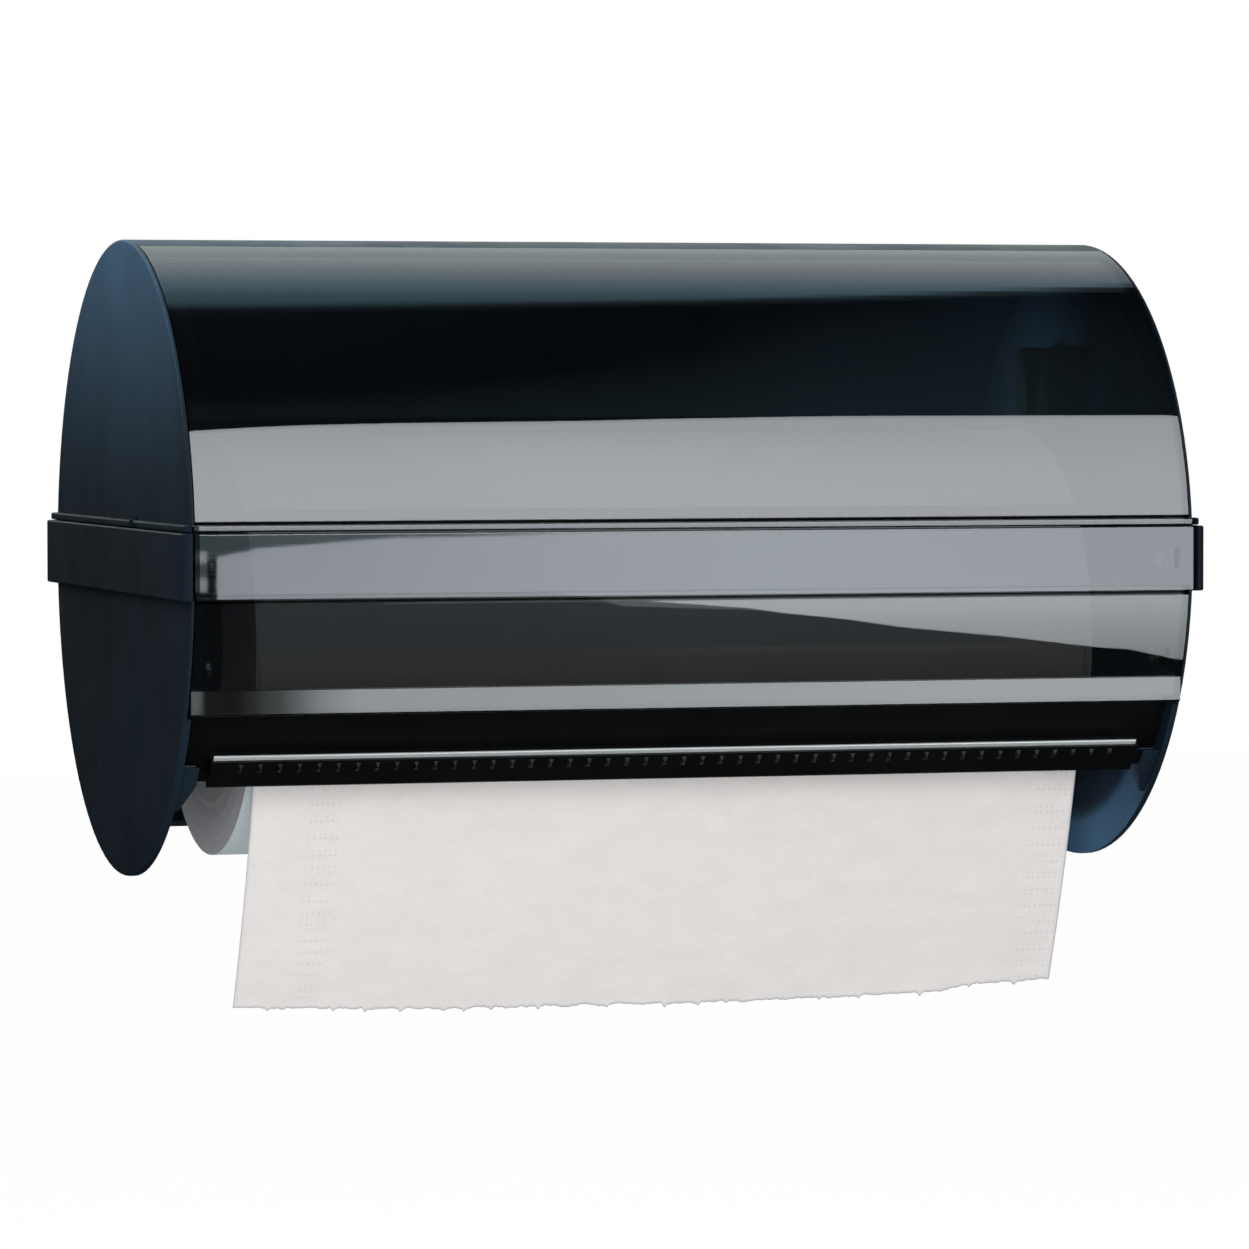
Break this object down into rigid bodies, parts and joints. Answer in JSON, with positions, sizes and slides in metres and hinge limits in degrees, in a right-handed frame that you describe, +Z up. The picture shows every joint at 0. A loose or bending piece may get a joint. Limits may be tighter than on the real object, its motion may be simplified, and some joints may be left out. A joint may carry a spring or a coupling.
{
  "type": "paper roll dispenser",
  "caption": "Wall-mounted drum-shaped dispenser for a wide paper roll, with a hinged smoke window cover, a mid-height band and a toothed tear bar.",
  "frame": {"origin": "Centre of the four wall screw holes, on the plane of the wall behind the bracket.", "axes": "+X runs along the drum to the user's right, +Y points back into the wall, +Z points up. The user stands at -Y."},
  "size_m": [0.429, 0.2925, 0.3163],
  "materials": {
    "shell": "fine moulded satin, dark blue-grey",
    "smoke": "polished smoke-tinted clear plastic",
    "black_plastic": "black moulded plastic, slight sheen",
    "dark_plastic": "dark moulded plastic",
    "steel": "bright steel",
    "bracket_paint": "grey painted pressed steel",
    "core_board": "plain brown board",
    "paper": "soft embossed paper, cream white"
  },
  "bodies": {
    "base": {"base_frame": "shell", "lower_front_panel": "smoke", "tear_bar": "black_plastic", "tear_bar_edge_strip": "steel", "tear_bar_carrier": "black_plastic", "tear_bar_screws": "steel", "carrier_screws": "steel", "panel_screws": "steel", "guide_screws": "steel", "right_roll_guide": "dark_plastic", "left_roll_guide": "dark_plastic", "spindle_rod": "steel", "paper_sheet": "paper", "right_latch_spring": "steel", "left_latch_spring": "steel", "hinge_pins": "steel", "wall_bracket": "bracket_paint", "bracket_lock_screw": "steel"},
    "cover": {"cover_frame": "shell", "cover_window": "smoke"},
    "roll": {"paper_roll": "paper", "roll_core": "core_board", "right_hub": "dark_plastic", "left_hub": "dark_plastic"},
    "right_latch": {"right_latch": "dark_plastic"},
    "left_latch": {"left_latch": "dark_plastic"}
  },
  "joints": [
    {"name": "cover_hinge", "type": "hinge", "parent": "base", "child": "cover", "pos_m": [0, -0.018, 0.061], "axis": [-1, 0, 0], "range_deg": [0, 40]},
    {"name": "roll_spin", "type": "hinge", "parent": "base", "child": "roll", "pos_m": [0, -0.1545, 0.01], "axis": [1, 0, 0], "continuous": true},
    {"name": "right_latch_press", "type": "slide", "parent": "base", "child": "right_latch", "axis": [-1, 0, 0], "range_m": [0, 0.003], "stiffness_N_per_m": 200, "springref_m": -0.005, "deforming": ["right_latch_spring"]},
    {"name": "left_latch_press", "type": "slide", "parent": "base", "child": "left_latch", "axis": [1, 0, 0], "range_m": [0, 0.003], "stiffness_N_per_m": 200, "springref_m": -0.005, "deforming": ["left_latch_spring"]}
  ]
}
